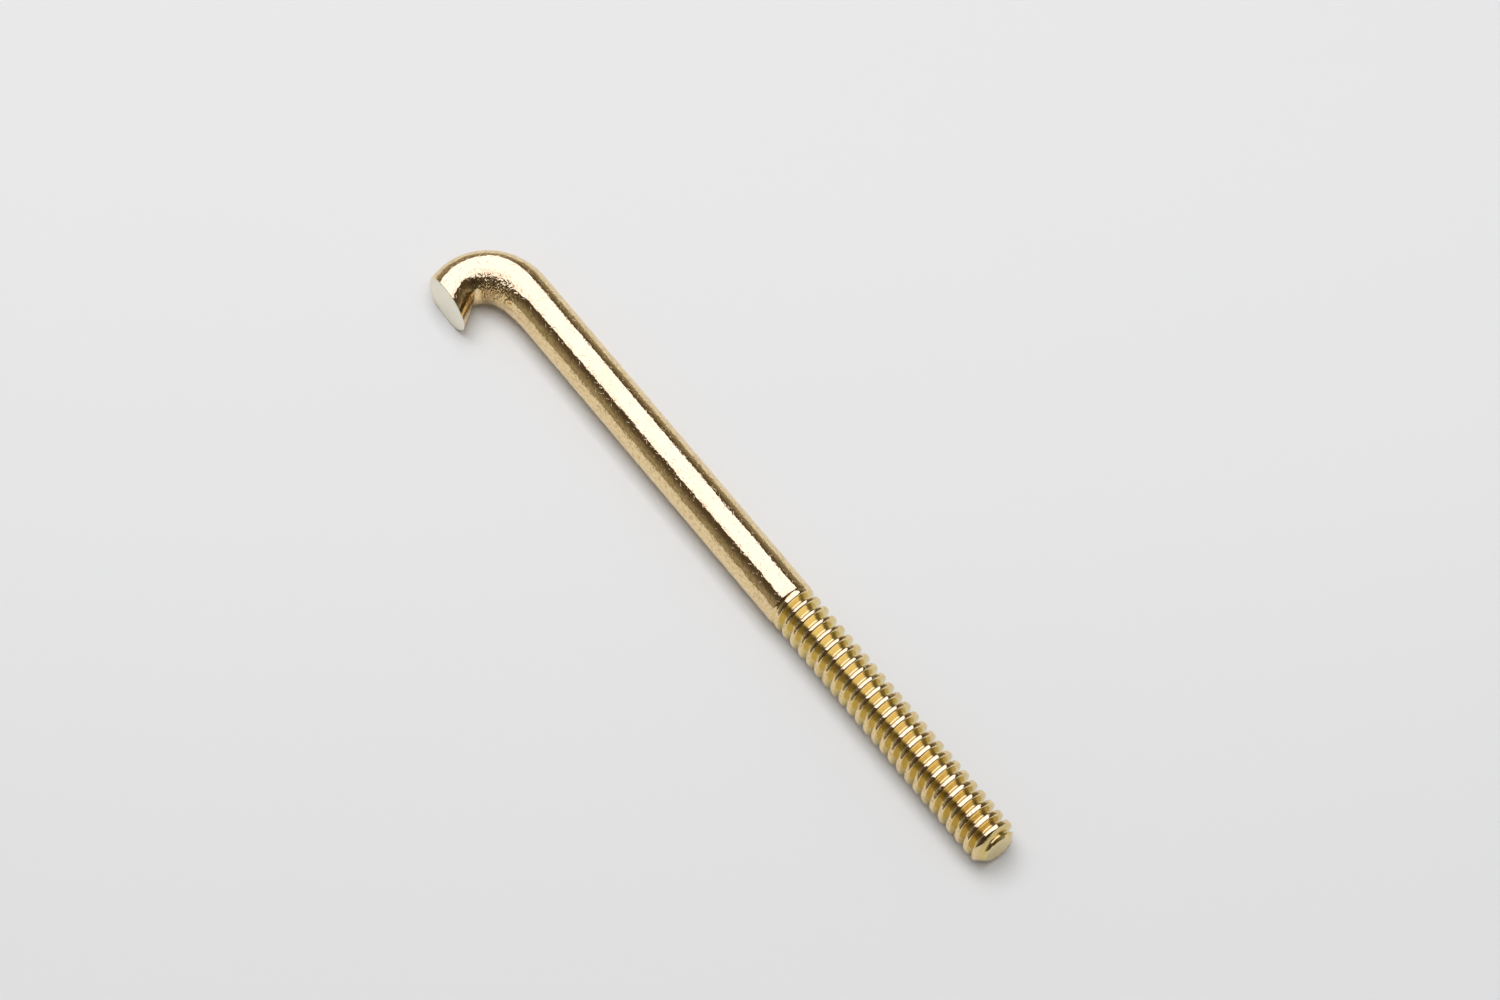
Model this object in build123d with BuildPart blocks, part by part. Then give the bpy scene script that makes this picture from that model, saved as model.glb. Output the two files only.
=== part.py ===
"""A hook bolt bent from one length of round brass rod.

The straight rod lies along X, and the shoulder where its thread starts is at the origin. The thread runs to +X.
The plain shank runs to -X, and there the rod bends round towards -Y and is cut off flat, parallel to the shank and
tilted up a little.
The bend lies flat in the XY plane, so the hook rests on its side.
"""

import math
import os

from build123d import *

# Plain shank
shank_d = 4.166
shank_length = 36.56

# Bend: a wide arc leads into a tight one, and a short straight tip ends it
lead_radius = 4.63
lead_turn = 30
bend_radius = 3.33
bend_turn = 97
tip_length = 0.72
cut_tilt = 3.8

# Thread: single start, right hand, sharp crests, cut slightly smaller than the rod
thread_major_d = 4.07
thread_length = 26.62
thread_pitch = 1.0583
thread_flank_angle = 30
thread_root_share = 0.25
first_crest = 0.35

# Shoulder at the thread's start and chamfer at its end
shoulder_angle = 45
end_chamfer = 0.72

# Room past a surface, for a cut or an overlap
overrun = 0.1

# Worked out from the sizes above
shank_r = shank_d / 2
thread_major_r = thread_major_d / 2
flank_slope = math.tan(math.radians(thread_flank_angle))
thread_depth = thread_pitch * (1 - thread_root_share) / 2 / flank_slope
thread_root_r = thread_major_r - thread_depth
thread_from = first_crest - 2 * thread_pitch
turn_count = math.ceil((thread_length + thread_pitch - thread_from) / thread_pitch)
thread_to = thread_from + turn_count * thread_pitch
tip_slant_run = shank_r / abs(math.tan(math.radians(lead_turn + bend_turn)))

with BuildPart() as hook:
    # Core of the threaded end
    with BuildSketch(Plane((thread_from, 0, 0), x_dir=(0, 0, -1), z_dir=(1, 0, 0))):
        Circle(thread_root_r)
    extrude(amount=thread_to - thread_from)

    # One turn of the thread's ridge, sunk a little into the core and repeated along it
    with BuildPart(mode=Mode.PRIVATE) as turn:
        with BuildLine() as turn_helix:
            Helix(thread_pitch, thread_pitch, thread_root_r, (0, 0, 0), (1, 0, 0))
        turn_start = turn_helix.line @ 0
        turn_plane = Plane(turn_start, x_dir=(1, 0, 0), z_dir=Vector(1, 0, 0).cross(turn_start))
        base_half_width = (thread_depth + overrun) * flank_slope
        with BuildSketch(turn_plane):
            with BuildLine():
                Polyline((-base_half_width, -overrun), (base_half_width, -overrun), (0, thread_depth), close=True)
            make_face()
        sweep(path=turn_helix.line, is_frenet=True)
    with Locations([(thread_from + count * thread_pitch, 0, 0) for count in range(turn_count)]):
        add(turn.part)

    # Square end, chamfered through the last turns
    with BuildSketch(Plane.XZ):
        with BuildLine():
            Polyline(
                (thread_length - end_chamfer - overrun, thread_major_r + overrun),
                (thread_length, thread_major_r - end_chamfer),
                (thread_length, 0),
                (thread_to + thread_pitch, 0),
                (thread_to + thread_pitch, thread_major_r + overrun),
                close=True,
            )
        make_face()
    revolve(axis=Axis.X, mode=Mode.SUBTRACT)

    # Shoulder that falls from the shank into the first groove
    shoulder_fall = shank_r - thread_root_r + overrun
    shoulder_run = shoulder_fall / math.tan(math.radians(shoulder_angle))
    with BuildSketch(Plane.XZ):
        with BuildLine():
            Polyline((0, 0), (0, shank_r), (shoulder_run, shank_r - shoulder_fall), (shoulder_run, 0), close=True)
        make_face()
    revolve(axis=Axis.X)

    # Plain rod along the shank and round the bend, past the cut
    with BuildLine() as centre_line:
        shank_line = Line((0, 0), (-shank_length, 0))
        lead = JernArc(shank_line @ 1, shank_line % 1, lead_radius, lead_turn)
        crook = JernArc(lead @ 1, lead % 1, bend_radius, bend_turn)
        tip = PolarLine(crook @ 1, tip_length, direction=crook % 1)
        PolarLine(tip @ 1, tip_slant_run + overrun, direction=tip % 1)
    with BuildSketch(Plane.YZ):
        Circle(shank_r)
    sweep(path=centre_line.line)

    # Flat cut across the tip, parallel to the shank, and tilted up from the lowest point of its rim
    cut_plane = Plane(tip @ 1 - Vector(0, 0, shank_r), x_dir=(1, 0, 0), z_dir=(0, -1, 0)).rotated((-cut_tilt, 0, 0))
    split(bisect_by=cut_plane, keep=Keep.BOTTOM)

hook.part.label = "hook"
os.makedirs("parts", exist_ok=True)
export_step(hook.part, "parts/hook.step")
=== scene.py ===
"""Looks of a hook bolt bent from one length of round brass rod.

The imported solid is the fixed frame. One fine mesh, made by Geometry Nodes from the rod's own sizes,
stands for it: the bend with its strained inner side, the drawn shank, and the thread with its truncated crests.
All lengths are metres in the frame's axes: the rod lies along X, and the bend turns towards -Y.
"""

from __future__ import annotations

import logging
import math
from dataclasses import dataclass, field
from enum import Enum

import bmesh
import bpy
from mathutils import Matrix, Vector

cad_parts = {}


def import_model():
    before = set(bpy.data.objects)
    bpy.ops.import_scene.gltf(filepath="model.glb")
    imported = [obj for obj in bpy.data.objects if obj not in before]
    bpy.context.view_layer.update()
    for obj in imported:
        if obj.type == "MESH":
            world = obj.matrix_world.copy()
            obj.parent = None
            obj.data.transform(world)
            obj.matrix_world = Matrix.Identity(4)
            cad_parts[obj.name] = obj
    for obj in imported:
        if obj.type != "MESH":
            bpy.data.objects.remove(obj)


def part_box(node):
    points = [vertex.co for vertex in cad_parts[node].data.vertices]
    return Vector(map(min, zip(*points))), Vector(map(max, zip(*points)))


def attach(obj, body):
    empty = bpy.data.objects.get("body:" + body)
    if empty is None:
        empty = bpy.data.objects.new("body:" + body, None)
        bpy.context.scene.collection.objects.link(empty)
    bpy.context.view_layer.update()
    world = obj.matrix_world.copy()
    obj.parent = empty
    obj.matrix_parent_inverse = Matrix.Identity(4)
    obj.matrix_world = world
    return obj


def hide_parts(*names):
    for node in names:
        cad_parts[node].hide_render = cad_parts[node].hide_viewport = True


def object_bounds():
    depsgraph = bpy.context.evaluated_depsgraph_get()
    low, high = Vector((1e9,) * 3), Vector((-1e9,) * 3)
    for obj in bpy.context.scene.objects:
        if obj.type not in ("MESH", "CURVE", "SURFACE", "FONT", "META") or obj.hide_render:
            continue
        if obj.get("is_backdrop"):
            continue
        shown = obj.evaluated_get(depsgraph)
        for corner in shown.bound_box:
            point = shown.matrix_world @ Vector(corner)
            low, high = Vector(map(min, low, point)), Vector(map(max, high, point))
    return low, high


LOG = logging.getLogger("hook_bolt")
MM = 0.001
Colour = tuple[float, float, float, float]
Span = tuple[float, float]


class Mark(str, Enum):
    """Names of what the mesh carries for its finish."""

    PLACE = "rod_place"
    STRAIN = "bend_strain"
    THREAD = "thread_share"
    CUT = "cut_face"


class Domain(str, Enum):
    """What a mark is kept on."""

    POINT = "POINT"
    FACE = "FACE"


class Field:
    """A value that varies over a surface, worked out by the nodes of one tree."""

    def __init__(self, tree: bpy.types.NodeTree, socket: bpy.types.NodeSocket) -> None:
        """Keeps the tree and the socket that gives the value."""
        self.tree = tree
        self.socket = socket

    def math(self, operation: str, *others: Field | float) -> Field:
        """Adds a Math node that starts from this value.

        Args:
            operation: The Math node's operation.
            others: The node's other inputs, in order.

        Returns:
            The node's result.
        """
        return calculate(self.tree, operation, self, *others)

    def __add__(self, other: Field | float) -> Field:
        """This value plus another."""
        return self.math("ADD", other)

    def __radd__(self, other: float) -> Field:
        """A number plus this value."""
        return self.math("ADD", other)

    def __sub__(self, other: Field | float) -> Field:
        """This value less another."""
        return self.math("SUBTRACT", other)

    def __rsub__(self, other: float) -> Field:
        """A number less this value."""
        return calculate(self.tree, "SUBTRACT", other, self)

    def __mul__(self, other: Field | float) -> Field:
        """This value times another."""
        return self.math("MULTIPLY", other)

    def __rmul__(self, other: float) -> Field:
        """A number times this value."""
        return self.math("MULTIPLY", other)

    def __truediv__(self, other: Field | float) -> Field:
        """This value over another."""
        return self.math("DIVIDE", other)

    def least(self, other: Field | float, soft: float = 0.0) -> Field:
        """The smaller of two values, rounded off over the length soft where that isn't zero."""
        return self.math("SMOOTH_MIN", other, soft) if soft else self.math("MINIMUM", other)

    def most(self, other: Field | float, soft: float = 0.0) -> Field:
        """The larger of two values, rounded off over the length soft where that isn't zero."""
        return self.math("SMOOTH_MAX", other, soft) if soft else self.math("MAXIMUM", other)

    def kept(self, low: Field | float, high: Field | float) -> Field:
        """This value, kept between two others."""
        return self.most(low).least(high)

    def sin(self) -> Field:
        """The sine of this angle."""
        return self.math("SINE")

    def cos(self) -> Field:
        """The cosine of this angle."""
        return self.math("COSINE")

    def step(self, low: float, high: float) -> Field:
        """Rises smoothly from 0 at low to 1 at high, or falls where high is below low.

        Args:
            low: Where the result is 0.
            high: Where the result is 1.

        Returns:
            The smooth step.
        """
        node = self.tree.nodes.new("ShaderNodeMapRange")
        node.interpolation_type = "SMOOTHSTEP"
        feed(self.tree, node.inputs["Value"], self)
        feed(self.tree, node.inputs["From Min"], low)
        feed(self.tree, node.inputs["From Max"], high)
        return Field(self.tree, node.outputs["Result"])


def feed(tree: bpy.types.NodeTree, slot: bpy.types.NodeSocket, value: Field | float | tuple) -> None:
    """Links a field to a node's input, or sets the input to a plain value.

    Args:
        tree: The tree that holds the node.
        slot: The input.
        value: The field or plain value.
    """
    if isinstance(value, Field):
        tree.links.new(value.socket, slot)
    else:
        slot.default_value = value


def calculate(tree: bpy.types.NodeTree, operation: str, *values: Field | float) -> Field:
    """Adds a Math node.

    Args:
        tree: The tree to add it to.
        operation: The Math node's operation.
        values: Its inputs, in order.

    Returns:
        The node's result.
    """
    node = tree.nodes.new("ShaderNodeMath")
    node.operation = operation
    for slot, value in zip(node.inputs, values):
        feed(tree, slot, value)
    return Field(tree, node.outputs[0])


def combined(tree: bpy.types.NodeTree, x: Field | float, y: Field | float, z: Field | float) -> Field:
    """Puts three values together as one vector.

    Args:
        tree: The tree to add the node to.
        x: First part.
        y: Second part.
        z: Third part.

    Returns:
        The vector.
    """
    node = tree.nodes.new("ShaderNodeCombineXYZ")
    for slot, value in zip(node.inputs, (x, y, z)):
        feed(tree, slot, value)
    return Field(tree, node.outputs[0])


def split(tree: bpy.types.NodeTree, vector: Field) -> tuple[Field, Field, Field]:
    """Takes a vector apart.

    Args:
        tree: The tree to add the node to.
        vector: The vector.

    Returns:
        Its three parts.
    """
    node = tree.nodes.new("ShaderNodeSeparateXYZ")
    feed(tree, node.inputs[0], vector)
    return Field(tree, node.outputs["X"]), Field(tree, node.outputs["Y"]), Field(tree, node.outputs["Z"])


def noise(tree: bpy.types.NodeTree, place: Field, detail: float, seed: float, scale: float = 1.0) -> Field:
    """Adds a noise pattern of its own seed.

    Args:
        tree: The tree to add the node to.
        place: Where the pattern is read.
        detail: Octaves.
        seed: The fourth coordinate, which sets the pattern.
        scale: Waves per unit of place.

    Returns:
        The pattern, from 0 to 1 round 0.5.
    """
    node = tree.nodes.new("ShaderNodeTexNoise")
    node.noise_dimensions = "4D"
    feed(tree, node.inputs["Vector"], place)
    feed(tree, node.inputs["W"], seed)
    feed(tree, node.inputs["Scale"], scale)
    feed(tree, node.inputs["Detail"], detail)
    return Field(tree, node.outputs["Fac"])


def mixed(tree: bpy.types.NodeTree, share: Field, first: Field | Colour, second: Field | Colour) -> Field:
    """Mixes two colours.

    Args:
        tree: The tree to add the node to.
        share: How much of the second.
        first: The first colour.
        second: The second colour.

    Returns:
        The mixed colour.
    """
    node = tree.nodes.new("ShaderNodeMix")
    node.data_type = "RGBA"
    feed(tree, node.inputs["Factor"], share)
    slots = [slot for slot in node.inputs if slot.type == "RGBA"]
    for slot, colour in zip(slots, (first, second)):
        feed(tree, slot, colour)
    return Field(tree, next(slot for slot in node.outputs if slot.type == "RGBA"))


@dataclass
class Ring:
    """A point of the rod's surface: how far along the rod, how far from its middle, and where round it."""

    along: Field
    radius: Field
    side: Field
    top: Field


@dataclass
class SurfaceTree:
    """A Geometry Nodes tree that lays sheets of faces over the rod and sews them together."""

    name: str
    columns: int
    tree: bpy.types.NodeTree = field(init=False)
    sheets: list[bpy.types.NodeSocket] = field(init=False, default_factory=list)
    sizes: dict[str, float] = field(init=False, default_factory=dict)
    entry: bpy.types.Node = field(init=False)

    def __post_init__(self) -> None:
        """Makes the empty tree."""
        self.tree = bpy.data.node_groups.new(self.name, "GeometryNodeTree")
        self.tree.is_modifier = True
        self.tree.interface.new_socket("Geometry", in_out="OUTPUT", socket_type="NodeSocketGeometry")
        self.entry = self.tree.nodes.new("NodeGroupInput")

    def size(self, name: str, value: float) -> Field:
        """Gives the tree a named input.

        Args:
            name: The input's name.
            value: The size that the modifier sets it to.

        Returns:
            The input as a field.
        """
        if name not in self.sizes:
            self.sizes[name] = value
            self.tree.interface.new_socket(name, in_out="INPUT", socket_type="NodeSocketFloat")
        return Field(self.tree, self.entry.outputs[name])

    def sheet(self, rows: int) -> tuple[bpy.types.NodeSocket, Field, Field]:
        """Starts a sheet of rows along the rod and columns round it.

        Args:
            rows: Points along the rod.

        Returns:
            The sheet, the share of its length from 0 to 1, and the angle round the rod from +Y towards +Z.
        """
        grid = self.tree.nodes.new("GeometryNodeMeshGrid")
        feed(self.tree, grid.inputs["Size X"], 1.0)
        feed(self.tree, grid.inputs["Size Y"], 1.0)
        feed(self.tree, grid.inputs["Vertices X"], rows)
        feed(self.tree, grid.inputs["Vertices Y"], self.columns + 1)
        place = self.tree.nodes.new("GeometryNodeInputPosition")
        along, across, _ = split(self.tree, Field(self.tree, place.outputs[0]))
        return grid.outputs["Mesh"], along + 0.5, (across + 0.5) * math.tau

    def marked(
        self, sheet: bpy.types.NodeSocket, mark: Mark, domain: Domain, value: Field | float
    ) -> bpy.types.NodeSocket:
        """Keeps a value on a sheet for the finish.

        Args:
            sheet: The sheet.
            mark: What the value is called.
            domain: Points or faces.
            value: The value or vector.

        Returns:
            The marked sheet.
        """
        node = self.tree.nodes.new("GeometryNodeStoreNamedAttribute")
        node.data_type = "FLOAT_VECTOR" if mark is Mark.PLACE else "FLOAT"
        node.domain = domain.value
        self.tree.links.new(sheet, node.inputs["Geometry"])
        node.inputs["Name"].default_value = mark.value
        feed(self.tree, next(slot for slot in node.inputs if slot.name == "Value" and slot.enabled), value)
        return node.outputs["Geometry"]

    def laid(
        self,
        sheet: bpy.types.NodeSocket,
        ring: Ring,
        place: Field,
        strain: Field | float = 0.0,
        thread: Field | float = 0.0,
        cut: float = 0.0,
    ) -> None:
        """Marks a sheet, moves its points to their places and keeps it for sewing.

        Args:
            sheet: The sheet.
            ring: Where each point is on the straightened rod.
            place: Where each point is in space.
            strain: How much the bend has strained the surface there.
            thread: How much of the thread's finish the surface has there.
            cut: How much of a sawn end's finish the surface has.
        """
        side, top = ring.radius * ring.side, ring.radius * ring.top
        straight = combined(self.tree, ring.along / MM, side / MM, top / MM)
        sheet = self.marked(sheet, Mark.PLACE, Domain.POINT, straight)
        sheet = self.marked(sheet, Mark.STRAIN, Domain.POINT, strain)
        sheet = self.marked(sheet, Mark.THREAD, Domain.POINT, thread)
        sheet = self.marked(sheet, Mark.CUT, Domain.FACE, cut)
        mover = self.tree.nodes.new("GeometryNodeSetPosition")
        self.tree.links.new(sheet, mover.inputs["Geometry"])
        feed(self.tree, mover.inputs["Position"], place)
        self.sheets.append(mover.outputs["Geometry"])

    def sewn(self, gap: float, sharp: float, material: bpy.types.Material) -> None:
        """Joins the sheets, merges their shared rows and ends the tree.

        Args:
            gap: Points nearer than this are one.
            sharp: Edges that turn by more than this angle are shaded as edges.
            material: The finish.
        """
        links, nodes = self.tree.links, self.tree.nodes
        join = nodes.new("GeometryNodeJoinGeometry")
        for sheet in self.sheets:
            links.new(sheet, join.inputs[0])
        merge = nodes.new("GeometryNodeMergeByDistance")
        links.new(join.outputs[0], merge.inputs["Geometry"])
        merge.inputs["Distance"].default_value = gap
        smooth = nodes.new("GeometryNodeSetShadeSmooth")
        smooth.domain = "FACE"
        links.new(merge.outputs[0], smooth.inputs["Geometry"])
        turn = nodes.new("GeometryNodeInputMeshEdgeAngle")
        turned = Field(self.tree, turn.outputs["Unsigned Angle"]).math("GREATER_THAN", sharp)
        edges = nodes.new("GeometryNodeSetShadeSmooth")
        edges.domain = "EDGE"
        edges.inputs["Shade Smooth"].default_value = False
        links.new(smooth.outputs[0], edges.inputs["Geometry"])
        links.new(turned.socket, edges.inputs["Selection"])
        real = nodes.new("GeometryNodeRealizeInstances")
        links.new(edges.outputs[0], real.inputs["Geometry"])
        dress = nodes.new("GeometryNodeSetMaterial")
        links.new(real.outputs[0], dress.inputs["Geometry"])
        dress.inputs["Material"].default_value = material
        end = nodes.new("NodeGroupOutput")
        links.new(dress.outputs[0], end.inputs[0])

    def made(self, name: str) -> bpy.types.Object:
        """Runs the tree and keeps its result as a plain mesh.

        Args:
            name: The piece's name.

        Returns:
            The piece, in the scene.
        """
        maker = bpy.data.objects.new(name + "_maker", bpy.data.meshes.new(name + "_maker"))
        bpy.context.collection.objects.link(maker)
        modifier = maker.modifiers.new(self.name, "NODES")
        modifier.node_group = self.tree
        for item in self.tree.interface.items_tree:
            if item.in_out == "INPUT":
                modifier[item.identifier] = self.sizes[item.name]
        graph = bpy.context.evaluated_depsgraph_get()
        mesh = bpy.data.meshes.new_from_object(maker.evaluated_get(graph), depsgraph=graph)
        maker.modifiers.remove(modifier)
        bpy.data.objects.remove(maker)
        work = bmesh.new()
        work.from_mesh(mesh)
        bmesh.ops.recalc_face_normals(work, faces=work.faces)
        work.to_mesh(mesh)
        work.free()
        mesh.name = name
        piece = bpy.data.objects.new(name, mesh)
        bpy.context.collection.objects.link(piece)
        return piece


@dataclass
class Crook:
    """The bent end of the rod, from a little way down the shank to the flat cut of the tip.

    Spans along the rod are measured past the start of the bend. Spans of side go from 1 on the bend's outer
    line to -1 on its inner line.
    """

    lead_radius: float = 4.63 * MM
    lead_turn: float = math.radians(30)
    bend_radius: float = 3.33 * MM
    bend_turn: float = math.radians(97)
    tip_length: float = 0.72 * MM
    cut_tilt: float = math.radians(3.8)
    lead_in: float = 3.0 * MM
    rim: float = 0.05 * MM
    bulge: float = 0.37 * MM
    bulge_rise: Span = (-2.6 * MM, 1.8 * MM)
    bulge_fall: Span = (7.4 * MM, 3.6 * MM)
    bulge_side: Span = (0.0, -0.87)
    crinkle: float = 0.025 * MM
    crinkle_rise: Span = (-0.6 * MM, 2.4 * MM)
    crinkle_fall: Span = (6.0 * MM, 4.2 * MM)
    crinkle_side: Span = (-0.2, -0.62)
    crinkle_lean: float = 1.6 * MM
    crinkle_waves: float = 2.7
    crinkle_stretch: float = 0.5
    crinkle_seed: float = 3.0
    rows: int = 220
    cap_rows: int = 9

    def build(self, surface: SurfaceTree, rod_radius: Field, shank_length: Field) -> None:
        """Lays the bend's surface and the cut face of its tip.

        Args:
            surface: The tree to lay them in.
            rod_radius: The rod's radius.
            shank_length: From the shoulder to the start of the bend.
        """
        tree = surface.tree
        lead_radius = surface.size("Lead Radius", self.lead_radius)
        lead_turn = surface.size("Lead Turn", self.lead_turn)
        bend_radius = surface.size("Bend Radius", self.bend_radius)
        full_turn = lead_turn + surface.size("Bend Turn", self.bend_turn)
        tip_length = surface.size("Tip Length", self.tip_length)
        cut_slope = surface.size("Cut Slope", math.tan(self.cut_tilt))
        rim = surface.size("Rim Bevel", self.rim)
        lead_arc = lead_radius * lead_turn
        bend_arc = bend_radius * (full_turn - lead_turn)
        middle = lead_radius * (lead_turn.cos() - 1.0) - bend_radius * lead_turn.cos()
        cut_height = middle + bend_radius * full_turn.cos() - tip_length * full_turn.sin()

        def end_of(radius: Field, side: Field, top: Field) -> Field:
            """Finds where the flat cut meets a line of the rod.

            Args:
                radius: How far the line is from the rod's middle.
                side: Where it is round the rod, towards +Y on the shank.
                top: Where it is round the rod, towards +Z.

            Returns:
                How far along the rod that is, past the start of the bend.
            """
            reach = bend_radius + radius * side
            cut = cut_height + (radius * top + rod_radius) * cut_slope
            met = ((cut - middle) / reach).kept(-1.0, 1.0).math("ARCCOSINE").least(full_turn)
            straight = (middle + reach * full_turn.cos() - cut) / full_turn.sin()
            return lead_arc + bend_radius * (met - lead_turn) + straight.most(0.0)

        def place_of(past: Field, radius: Field, side: Field, top: Field) -> Field:
            """Bends a point of the straight rod round to its place.

            Args:
                past: How far along the rod it is, past the start of the bend.
                radius: How far it is from the rod's middle.
                side: Where it is round the rod, towards +Y on the shank.
                top: Where it is round the rod, towards +Z.

            Returns:
                The place in space.
            """
            first = (past / lead_radius).kept(0.0, lead_turn)
            turn = first + ((past - lead_arc) / bend_radius).kept(0.0, full_turn - lead_turn)
            straight = past.least(0.0) + (past - lead_arc - bend_arc).most(0.0)
            swing = turn.sin() - first.sin()
            reach = straight * turn.cos() + lead_radius * first.sin() + bend_radius * swing
            x = (reach + shank_length) * -1.0
            drop = lead_radius * (1.0 - first.cos()) + bend_radius * (first.cos() - turn.cos())
            y = (drop + straight * turn.sin()) * -1.0
            out = radius * side
            return combined(tree, x - out * turn.sin(), y + out * turn.cos(), radius * top)

        sheet, share, angle = surface.sheet(self.rows)
        side, top = angle.cos(), angle.sin()
        past = share * (end_of(rod_radius, side, top) - rim + self.lead_in) - self.lead_in
        swollen = past.step(*self.bulge_rise) * past.step(*self.bulge_fall) * side.step(*self.bulge_side)
        begun = (past + top * self.crinkle_lean).step(*self.crinkle_rise)
        strain = begun * past.step(*self.crinkle_fall) * side.step(*self.crinkle_side)
        around = rod_radius / MM
        lines = combined(tree, past / MM * self.crinkle_stretch, around * side, around * top)
        wrinkles = noise(tree, lines, detail=1.0, seed=self.crinkle_seed, scale=self.crinkle_waves) * 2.0 - 1.0
        raised = surface.size("Inner Bulge", self.bulge) * swollen
        rough = surface.size("Crinkle Height", self.crinkle) * strain * wrinkles
        radius = rod_radius + raised + rough
        ring = Ring(past * -1.0 - shank_length, radius, side, top)
        surface.laid(sheet, ring, place_of(past, radius, side, top), strain=strain)

        sheet, share, angle = surface.sheet(self.cap_rows)
        side, top = angle.cos(), angle.sin()
        row = share * (self.cap_rows - 1.0)
        on_face = row.least(1.0)
        inward = (row - 1.0).most(0.0) / (self.cap_rows - 2.0)
        flat = (rod_radius - rim) * (1.0 - inward)
        radius = rod_radius + (flat - rod_radius) * on_face
        past = (end_of(rod_radius, side, top) - rim) * (1.0 - on_face) + end_of(flat, side, top) * on_face
        ring = Ring(past * -1.0 - shank_length, radius, side, top)
        surface.laid(sheet, ring, place_of(past, radius, side, top), cut=1.0)


@dataclass
class Shank:
    """The plain drawn rod between the bend and the thread."""

    length: float = 36.56 * MM
    rows: int = 48

    def build(self, surface: SurfaceTree, rod_radius: Field, start: Field, end: Field) -> None:
        """Lays the shank's surface.

        Args:
            surface: The tree to lay it in.
            rod_radius: The rod's radius.
            start: Where it starts, along X.
            end: Where it ends, along X.
        """
        sheet, share, angle = surface.sheet(self.rows)
        side, top = angle.cos(), angle.sin()
        along = start + (end - start) * share
        place = combined(surface.tree, along, rod_radius * side, rod_radius * top)
        surface.laid(sheet, Ring(along, rod_radius, side, top), place)


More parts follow.
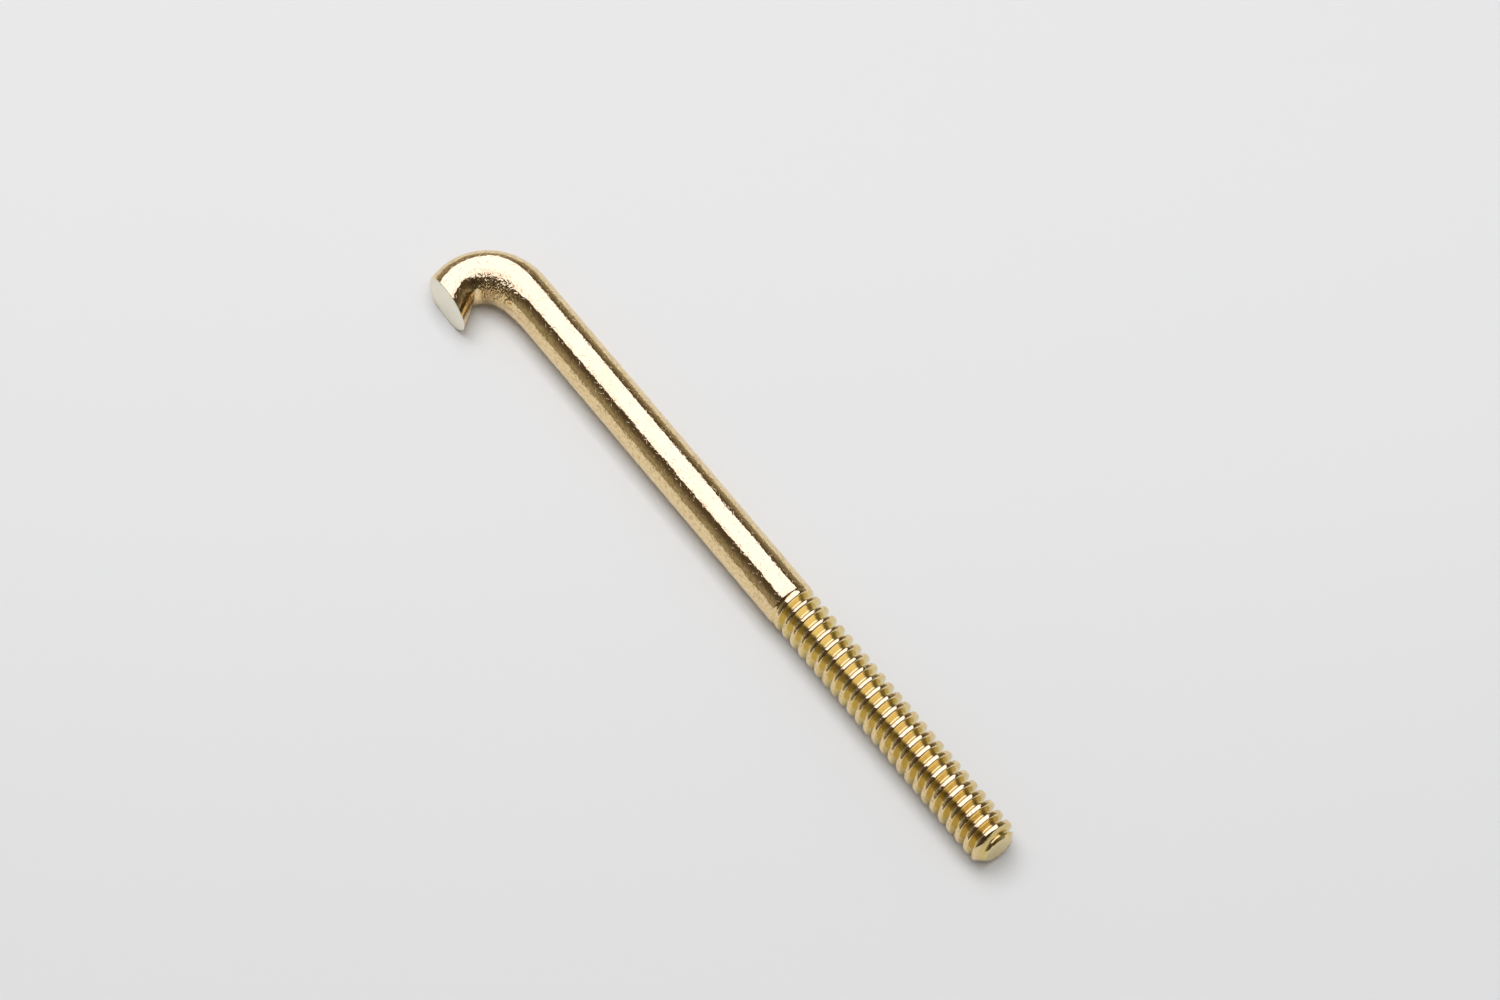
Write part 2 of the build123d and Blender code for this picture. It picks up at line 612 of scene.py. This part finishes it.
@dataclass
class Thread:
    """The threaded end: right hand, single start, from the shoulder to the chamfered end.

    Half a turn goes from the middle of a crest over its flat, its bevel and its flank to the middle of a
    groove, and each of these has its own count of rows. The shoulder and the chamfer slope by 45 degrees.
    """

    major_radius: float = 2.035 * MM
    pitch: float = 1.0583 * MM
    depth: float = 0.62 * MM
    crest_flat: float = 0.18 * MM
    crest_growth: float = 0.65
    run_in: Span = (1.2 * MM, 0.2 * MM)
    run_in_growth: float = 0.9
    crest_bevel: float = 0.04 * MM
    bevel_angle: float = math.radians(30)
    flank_angle: float = math.radians(30)
    first_crest: float = 0.35 * MM
    first_crest_turn: float = 0.25
    end_chamfer: float = 0.72 * MM
    lead_in: float = 1.0 * MM
    edge: float = 0.02 * MM
    root_round: float = 0.12 * MM
    finish_start: Span = (0.0, 0.4 * MM)
    finish_flank: float = 0.2
    end_cut: float = 0.2
    flat_rows: int = 1
    bevel_rows: int = 1
    flank_rows: int = 4
    root_rows: int = 2
    spare_turns: int = 2
    cap_rows: int = 6

    def build(self, surface: SurfaceTree, rod_radius: Field, length: float) -> None:
        """Lays the thread's surface and the flat face of its end.

        The rows follow the helix, so each crest runs along a row. Rows that would pass the thread's ends stop
        there.

        Args:
            surface: The tree to lay them in.
            rod_radius: The rod's radius.
            length: From the shoulder to the end face.
        """
        tree = surface.tree
        thread_length = surface.size("Thread Length", length)
        pitch = surface.size("Pitch", self.pitch)
        major = surface.size("Major Radius", self.major_radius)
        depth = surface.size("Thread Depth", self.depth)
        crest_least = surface.size("Crest Flat", self.crest_flat) * 0.5
        bevel_run = surface.size("Crest Bevel", self.crest_bevel)
        bevel_fall = bevel_run * math.tan(self.bevel_angle)
        flank_fall = depth - bevel_fall
        root_half = pitch * 0.5 - crest_least - bevel_run - flank_fall * math.tan(self.flank_angle)
        first_crest = surface.size("First Crest", self.first_crest)
        end_radius = major - surface.size("End Chamfer", self.end_chamfer)

        half_rows = self.flat_rows + self.bevel_rows + self.flank_rows + self.root_rows
        turns = math.ceil((length + self.lead_in) / self.pitch) + self.spare_turns + 1
        start = math.ceil(self.lead_in / self.pitch) + self.spare_turns
        sheet, share, angle = surface.sheet(turns * half_rows * 2 + 1)
        side, top = angle.cos(), angle.sin()
        turn = share * turns - start
        nearest = (turn + 0.5).math("FLOOR")
        off_crest = turn - nearest
        row = off_crest.math("ABSOLUTE") * (half_rows * 2.0)

        def passed(first: int, rows: int) -> Field:
            """How much of one part of the half turn is passed, from 0 to 1."""
            return ((row - first) / rows).kept(0.0, 1.0)

        on_flat = passed(0, self.flat_rows)
        on_bevel = passed(self.flat_rows, self.bevel_rows)
        down_flank = passed(self.flat_rows + self.bevel_rows, self.flank_rows)
        on_root = passed(half_rows - self.root_rows, self.root_rows)

        crest_at = first_crest + pitch * (nearest + angle / math.tau - self.first_crest_turn)
        wider = (crest_at / thread_length).kept(0.0, 1.0) * surface.size("Crest Growth", self.crest_growth)
        wider = wider + crest_at.step(*self.run_in) * surface.size("Run-in Growth", self.run_in_growth)
        crest_half = crest_least * (wider + 1.0)
        flank_run = pitch * 0.5 - crest_half - bevel_run - root_half
        sideways = crest_half * on_flat + bevel_run * on_bevel + flank_run * down_flank + root_half * on_root
        along = (crest_at + sideways * off_crest.math("SIGN")).kept(-self.lead_in, thread_length)
        fall = bevel_fall * on_bevel + flank_fall * down_flank
        ridge = (major - fall).most(major - depth, self.root_round)
        shoulder = (rod_radius - along).least(rod_radius, self.edge)
        radius = ridge.most(shoulder, self.edge).least(end_radius + thread_length - along, self.edge)
        place = combined(tree, along, radius * side, radius * top)
        groove = (down_flank / self.finish_flank).least(1.0) * along.step(*self.finish_start)
        surface.laid(sheet, Ring(along, radius, side, top), place, thread=groove)

        sheet, share, angle = surface.sheet(self.cap_rows)
        side, top = angle.cos(), angle.sin()
        radius = end_radius * (1.0 - share)
        place = combined(tree, thread_length, radius * side, radius * top)
        surface.laid(sheet, Ring(thread_length, radius, side, top), place, thread=1.0, cut=self.end_cut)


@dataclass(frozen=True)
class Pattern:
    """A noise pattern on the straightened rod: waves per millimetre along and across it, octaves and seed."""

    along: float
    across: float
    detail: float
    seed: float


@dataclass(frozen=True)
class BrassFinish:
    """Bright brass: drawn and scratched on the shank, crinkled and duller inside the bend with painted shade in
    its crease, deeper gold on the thread with painted shade towards its end.

    Places on the rod are millimetres. A depth is a share of the relief, and each size whose name ends in _wear
    is a share of the dull colour; inside the bend that dull colour is partly painted shade.
    """

    base: Colour = (0.92, 0.715, 0.40, 1.0)
    dull: Colour = (0.60, 0.43, 0.20, 1.0)
    turned: Colour = (0.785, 0.635, 0.28, 1.0)
    # Painted shade: the thread's gold darkens from turned to this colour towards the thread's end, where the
    # light falls off.
    painted_shade_gold: Colour = (0.735, 0.575, 0.235, 1.0)
    painted_shade_span: Span = (2.0, 27.0)
    sawn: Colour = (0.88, 0.84, 0.70, 1.0)
    rod_radius: float = 2.083
    pitch: float = 1.0583
    relief: float = 0.03 * MM
    streaks: Pattern = Pattern(0.5, 5.0, 1.0, 11.0)
    streak_depth: float = 0.2
    streak_rough: float = 0.12
    pits: Pattern = Pattern(4.4, 4.6, 0.5, 12.0)
    pit_depth: float = 0.4
    hair_slants: tuple[Span, ...] = ((math.radians(38), 21.0), (math.radians(-31), 22.0))
    hair_waves: Span = (1.5, 7.0)
    hair_edge: Span = (0.64, 0.73)
    hair_depth: float = 0.28
    hair_wear: float = 0.4
    peel: Pattern = Pattern(3.2, 3.4, 1.0, 14.0)
    peel_depth: float = 8.0
    # The strained brass inside the bend is duller, and this share also paints shade into the bend's crease.
    strain_dulling_and_painted_shade: float = 0.3
    strain_rough: float = 0.05
    saw: Pattern = Pattern(9.0, 1.5, 3.0, 15.0)
    saw_depth: float = 0.3
    saw_rough: float = 0.3
    turning_waves: Span = (16.0, 2.4)
    turning_seed: float = 17.0
    turning_depth: float = 0.35
    turning_rough: float = 0.16
    patches: Pattern = Pattern(0.3, 0.8, 2.0, 16.0)
    patch_edge: Span = (0.42, 0.75)
    patch_wear: float = 0.2
    grain: Pattern = Pattern(3.0, 5.0, 2.0, 18.0)
    grain_edge: Span = (0.42, 0.72)
    grain_wear: float = 0.1
    grain_side_wear: float = 0.65
    side_edge: Span = (0.975, 0.94)
    polish: float = 0.08
    groove_rough: float = 0.04
    rough_span: Span = (0.04, 0.7)

    def made(self) -> bpy.types.Material:
        """Builds the finish.

        Returns:
            The material.
        """
        material = bpy.data.materials.new("brass")
        material.use_nodes = True
        tree = material.node_tree
        shader = tree.nodes["Principled BSDF"]
        shader.inputs["Metallic"].default_value = 1.0

        place = self.mark(tree, Mark.PLACE, "Vector")
        strain = self.mark(tree, Mark.STRAIN, "Fac")
        groove = self.mark(tree, Mark.THREAD, "Fac")
        cut = self.mark(tree, Mark.CUT, "Fac")
        drawn = (1.0 - groove) * (1.0 - cut)
        along, angle = self.round_rod(tree, place)

        streaks = self.spread(tree, place, self.streaks)
        pits = self.spread(tree, place, self.pits)
        hairs = self.hairs(tree, along, angle)
        peel = self.spread(tree, place, self.peel)
        saw = self.spread(tree, place, self.saw)
        turning = self.turning(tree, along, angle)
        height = (streaks * self.streak_depth + pits * self.pit_depth - hairs * self.hair_depth) * drawn
        height = height + peel * strain * self.peel_depth
        height = height + turning * groove * self.turning_depth + saw * cut * self.saw_depth
        bump = tree.nodes.new("ShaderNodeBump")
        bump.inputs["Distance"].default_value = self.relief
        feed(tree, bump.inputs["Height"], height)
        tree.links.new(bump.outputs["Normal"], shader.inputs["Normal"])

        patches = self.spread(tree, place, self.patches).step(*self.patch_edge)
        grain = self.spread(tree, place, self.grain).step(*self.grain_edge)
        sides = angle.sin().step(*self.side_edge)
        # Dull colour from patches, grain and scratches; the strain share below adds painted shade inside the
        # bend as well as duller strained brass.
        dulling_and_painted_shade = patches * self.patch_wear + grain * (sides * self.grain_side_wear + self.grain_wear)
        dulling_and_painted_shade = dulling_and_painted_shade + hairs * self.hair_wear + strain * self.strain_dulling_and_painted_shade
        dulled_and_painted_shade = mixed(tree, dulling_and_painted_shade.least(1.0), self.base, self.dull)
        # Painted shade: the thread's gold is darker towards its end, standing in for light that falls off along
        # it.
        gold_with_painted_shade = mixed(tree, along.step(*self.painted_shade_span), self.turned, self.painted_shade_gold)
        bright = mixed(tree, groove, dulled_and_painted_shade, gold_with_painted_shade)
        feed(tree, shader.inputs["Base Color"], mixed(tree, cut, bright, self.sawn))

        rough = self.polish + (streaks - 0.5) * self.streak_rough * drawn
        rough = rough + cut * self.saw_rough + strain * self.strain_rough
        rough = rough + groove * (turning * self.turning_rough + self.groove_rough)
        feed(tree, shader.inputs["Roughness"], rough.kept(*self.rough_span))
        return material

    def mark(self, tree: bpy.types.NodeTree, mark: Mark, output: str) -> Field:
        """Reads what the mesh carries.

        Args:
            tree: The material's tree.
            mark: Which mark.
            output: The Attribute node's output to take.

        Returns:
            The mark's value.
        """
        node = tree.nodes.new("ShaderNodeAttribute")
        node.attribute_name = mark.value
        return Field(tree, node.outputs[output])

    def spread(self, tree: bpy.types.NodeTree, place: Field, pattern: Pattern) -> Field:
        """Spreads a noise pattern over the rod.

        Args:
            tree: The material's tree.
            place: Millimetres along the straightened rod and across it.
            pattern: The pattern.

        Returns:
            The pattern, from 0 to 1 round 0.5.
        """
        node = tree.nodes.new("ShaderNodeVectorMath")
        node.operation = "MULTIPLY"
        feed(tree, node.inputs[0], place)
        feed(tree, node.inputs[1], (pattern.along, pattern.across, pattern.across))
        return noise(tree, Field(tree, node.outputs[0]), pattern.detail, pattern.seed)

    def round_rod(self, tree: bpy.types.NodeTree, place: Field) -> tuple[Field, Field]:
        """Splits a place into how far along the rod it is and its angle round the rod.

        Args:
            tree: The material's tree.
            place: Millimetres along the straightened rod and across it.

        Returns:
            Millimetres along the rod, and radians round it.
        """
        along, side, top = split(tree, place)
        return along, top.math("ARCTAN2", side)

    def hairs(self, tree: bpy.types.NodeTree, along: Field, angle: Field) -> Field:
        """Makes sparse hair scratches that lie across the drawing lines at two slants.

        Args:
            tree: The material's tree.
            along: Millimetres along the rod.
            angle: Radians round it.

        Returns:
            1 in a scratch and 0 elsewhere.
        """
        found: Field | None = None
        run_waves, over_waves = self.hair_waves
        for slant, seed in self.hair_slants:
            run = along * math.cos(slant) + angle * (self.rod_radius * math.sin(slant))
            over = angle * (self.rod_radius * math.cos(slant)) - along * math.sin(slant)
            place = combined(tree, run * run_waves, over * over_waves, 0.0)
            lines = noise(tree, place, detail=1.0, seed=seed).step(*self.hair_edge)
            found = lines if found is None else found.most(lines)
        return found

    def turning(self, tree: bpy.types.NodeTree, along: Field, angle: Field) -> Field:
        """Makes the fine marks that the die leaves along the thread's groove.

        Args:
            tree: The material's tree.
            along: Millimetres along the rod.
            angle: Radians round it.

        Returns:
            The marks, from 0 to 1 round 0.5.
        """
        phase = (along - angle * (self.pitch / math.tau)).math("FLOORED_MODULO", self.pitch)
        over_waves, run_waves = self.turning_waves
        place = combined(tree, phase * over_waves, angle.cos() * run_waves, angle.sin() * run_waves)
        return noise(tree, place, detail=2.0, seed=self.turning_seed)


@dataclass
class HookBolt:
    """The whole hook: one rod with a crook, a shank and a thread."""

    crook: Crook
    shank: Shank
    thread: Thread
    finish: BrassFinish
    columns: int = 128
    gap: float = 0.002 * MM
    sharp: float = math.radians(50)
    node: str = "hook"

    def build(self) -> bpy.types.Object:
        """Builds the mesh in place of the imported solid.

        Returns:
            The piece.
        """
        _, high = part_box(self.node)
        surface = SurfaceTree("hook_surface", self.columns)
        rod_radius = surface.size("Rod Radius", high[2])
        shank_length = surface.size("Shank Length", self.shank.length)
        self.crook.build(surface, rod_radius, shank_length)
        shank_end = surface.size("Shank End", -self.thread.lead_in)
        self.shank.build(surface, rod_radius, self.crook.lead_in - shank_length, shank_end)
        self.thread.build(surface, rod_radius, high[0])
        surface.sewn(self.gap, self.sharp, self.finish.made())
        return surface.made("brass_hook")

    def dress(self, piece: bpy.types.Object) -> None:
        """Puts the piece on its body, where it keeps the solid's place, and hides the solid.

        Args:
            piece: The hook's mesh.
        """
        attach(piece, "root")
        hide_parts(self.node)


@dataclass
class Softbox:
    """A soft rectangular lamp whose edges run along the rod and across it."""

    name: str
    way: tuple[float, float, float]
    distance: float
    across: float
    along: float
    radiance: float
    colour: tuple[float, float, float] = (1.0, 1.0, 1.0)
    on_floor: bool = True
    in_metal: bool = True

    def hung(self) -> bpy.types.Object:
        """Hangs the lamp so that it faces the hook.

        Returns:
            The lamp.
        """
        data = bpy.data.lights.new(self.name, "AREA")
        data.shape = "RECTANGLE"
        data.size, data.size_y = self.across, self.along
        data.color = self.colour
        data.energy = self.radiance * math.pi * self.across * self.along
        lamp = bpy.data.objects.new(self.name, data)
        way = Vector(self.way).normalized()
        along = (Vector((1.0, 0.0, 0.0)) - way * way.x).normalized()
        lamp.location = way * self.distance
        lamp.rotation_mode = "QUATERNION"
        lamp.rotation_quaternion = Matrix((along.cross(way), along, way)).transposed().to_quaternion()
        lamp.visible_diffuse = self.on_floor
        lamp.visible_glossy = self.in_metal
        bpy.context.collection.objects.link(lamp)
        return lamp


@dataclass
class Studio:
    """The floor, the room and the camera."""

    floor_height: float
    floor_half: float = 1.5
    # Painted light: the floor's colour goes from near to far to paint the light's falloff across it.
    floor_painted_dim_near: Colour = (0.785, 0.785, 0.785, 1.0)
    floor_painted_lit_far: Colour = (0.85, 0.85, 0.85, 1.0)
    painted_falloff_reach: float = 0.05
    floor_rough: float = 0.9
    backdrop: Colour = (0.8, 0.8, 0.8, 1.0)
    wall_low: Colour = (0.33, 0.295, 0.225, 1.0)
    wall_high: Colour = (0.085, 0.066, 0.045, 1.0)
    wall_span: Span = (0.15, 0.70)
    wall_back: float = 0.15
    dark: Colour = (0.03, 0.025, 0.018, 1.0)
    dark_span: Span = (0.15, 0.85)
    dark_share: float = 0.85
    fill: Colour = (0.3, 0.3, 0.3, 1.0)
    azimuth: float = math.radians(53.63)
    elevation: float = math.radians(59.4)
    target: tuple[float, float, float] = (-9.647 * MM, 3.108 * MM, 0.0)
    distance: float = 346.23 * MM
    lens: float = 103.68
    sensor: float = 36.0
    clip: Span = (0.01, 20.0)

    def away(self, east: Field, north: Field) -> Field:
        """How far a place lies towards the far side of the photograph."""
        return north * math.cos(self.azimuth) - east * math.sin(self.azimuth)

    def floor(self) -> bpy.types.Object:
        """Lays the floor, with painted light that makes it a little paler towards the photograph's far side.

        Returns:
            The floor.
        """
        half, z = self.floor_half, self.floor_height
        mesh = bpy.data.meshes.new("floor")
        corners = [(-half, -half, z), (half, -half, z), (half, half, z), (-half, half, z)]
        mesh.from_pydata(corners, [], [(0, 1, 2, 3)])
        material = bpy.data.materials.new("floor_paper")
        material.use_nodes = True
        tree = material.node_tree
        shader = tree.nodes["Principled BSDF"]
        shader.inputs["Roughness"].default_value = self.floor_rough
        place = tree.nodes.new("ShaderNodeTexCoord")
        east, north, _ = split(tree, Field(tree, place.outputs["Object"]))
        # Painted light falloff: the floor is paler away from the camera's side.
        share = self.away(east, north).step(-self.painted_falloff_reach, self.painted_falloff_reach)
        feed(tree, shader.inputs["Base Color"], mixed(tree, share, self.floor_painted_dim_near, self.floor_painted_lit_far))
        mesh.materials.append(material)
        floor = bpy.data.objects.new("floor", mesh)
        bpy.context.collection.objects.link(floor)
        floor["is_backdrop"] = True
        return floor

    def room(self) -> None:
        """Sets the dim room that the metal reflects, which the camera sees as a pale backdrop."""
        world = bpy.data.worlds.new("room")
        bpy.context.scene.world = world
        world.use_nodes = True
        tree = world.node_tree
        place = tree.nodes.new("ShaderNodeTexCoord")
        east, north, height = split(tree, Field(tree, place.outputs["Generated"]))
        rise = height + north.most(0.0) * self.wall_back
        shade = (self.away(east, north) * -1.0).step(*self.dark_span) * self.dark_share
        wall = mixed(tree, rise.step(*self.wall_span), self.wall_low, self.wall_high)
        wall = mixed(tree, shade, wall, self.dark)
        rays = tree.nodes.new("ShaderNodeLightPath")
        lit = mixed(tree, Field(tree, rays.outputs["Is Glossy Ray"]), self.fill, wall)
        shown = mixed(tree, Field(tree, rays.outputs["Is Camera Ray"]), lit, self.backdrop)
        feed(tree, tree.nodes["Background"].inputs["Color"], shown)

    def camera(self) -> bpy.types.Object:
        """Puts the camera at the photograph's angle.

        Returns:
            The camera.
        """
        data = bpy.data.cameras.new("camera")
        data.sensor_fit = "HORIZONTAL"
        data.sensor_width = self.sensor
        data.lens = self.lens
        data.clip_start, data.clip_end = self.clip
        camera = bpy.data.objects.new("camera", data)
        flat = math.cos(self.elevation)
        east, north = math.sin(self.azimuth) * flat, -math.cos(self.azimuth) * flat
        back = Vector((east, north, math.sin(self.elevation)))
        camera.location = Vector(self.target) + back * self.distance
        camera.rotation_mode = "QUATERNION"
        camera.rotation_quaternion = (-back).to_track_quat("-Z", "Y")
        bpy.context.collection.objects.link(camera)
        bpy.context.scene.camera = camera
        return camera


def main() -> None:
    """Builds the hook and its studio, and logs how many points and faces the hook has."""
    logging.basicConfig(level=logging.INFO, format="%(name)s: %(message)s")
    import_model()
    solid_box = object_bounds()
    bolt = HookBolt(Crook(), Shank(), Thread(), BrassFinish())
    hook = bolt.build()
    bolt.dress(hook)
    LOG.info("hook: %d points, %d faces", len(hook.data.vertices), len(hook.data.polygons))
    studio = Studio(floor_height=solid_box[0][2])
    studio.floor()
    Softbox(
        "softbox",
        way=(-0.41, 0.169, 0.896),
        distance=0.5,
        across=0.708,
        along=0.75,
        radiance=1.0,
        colour=(1.42, 1.47, 2.08),
        on_floor=False,
    ).hung()
    Softbox(
        "floor_light",
        way=(-0.13, 0.03, 0.99),
        distance=0.7,
        across=0.5,
        along=0.9,
        radiance=3.0,
        in_metal=False,
    ).hung()
    studio.room()
    studio.camera()
    LOG.info("studio: floor, two lamps, room and camera")
    bpy.context.scene.view_settings.view_transform = "Standard"


if __name__ == "__main__":
    main()
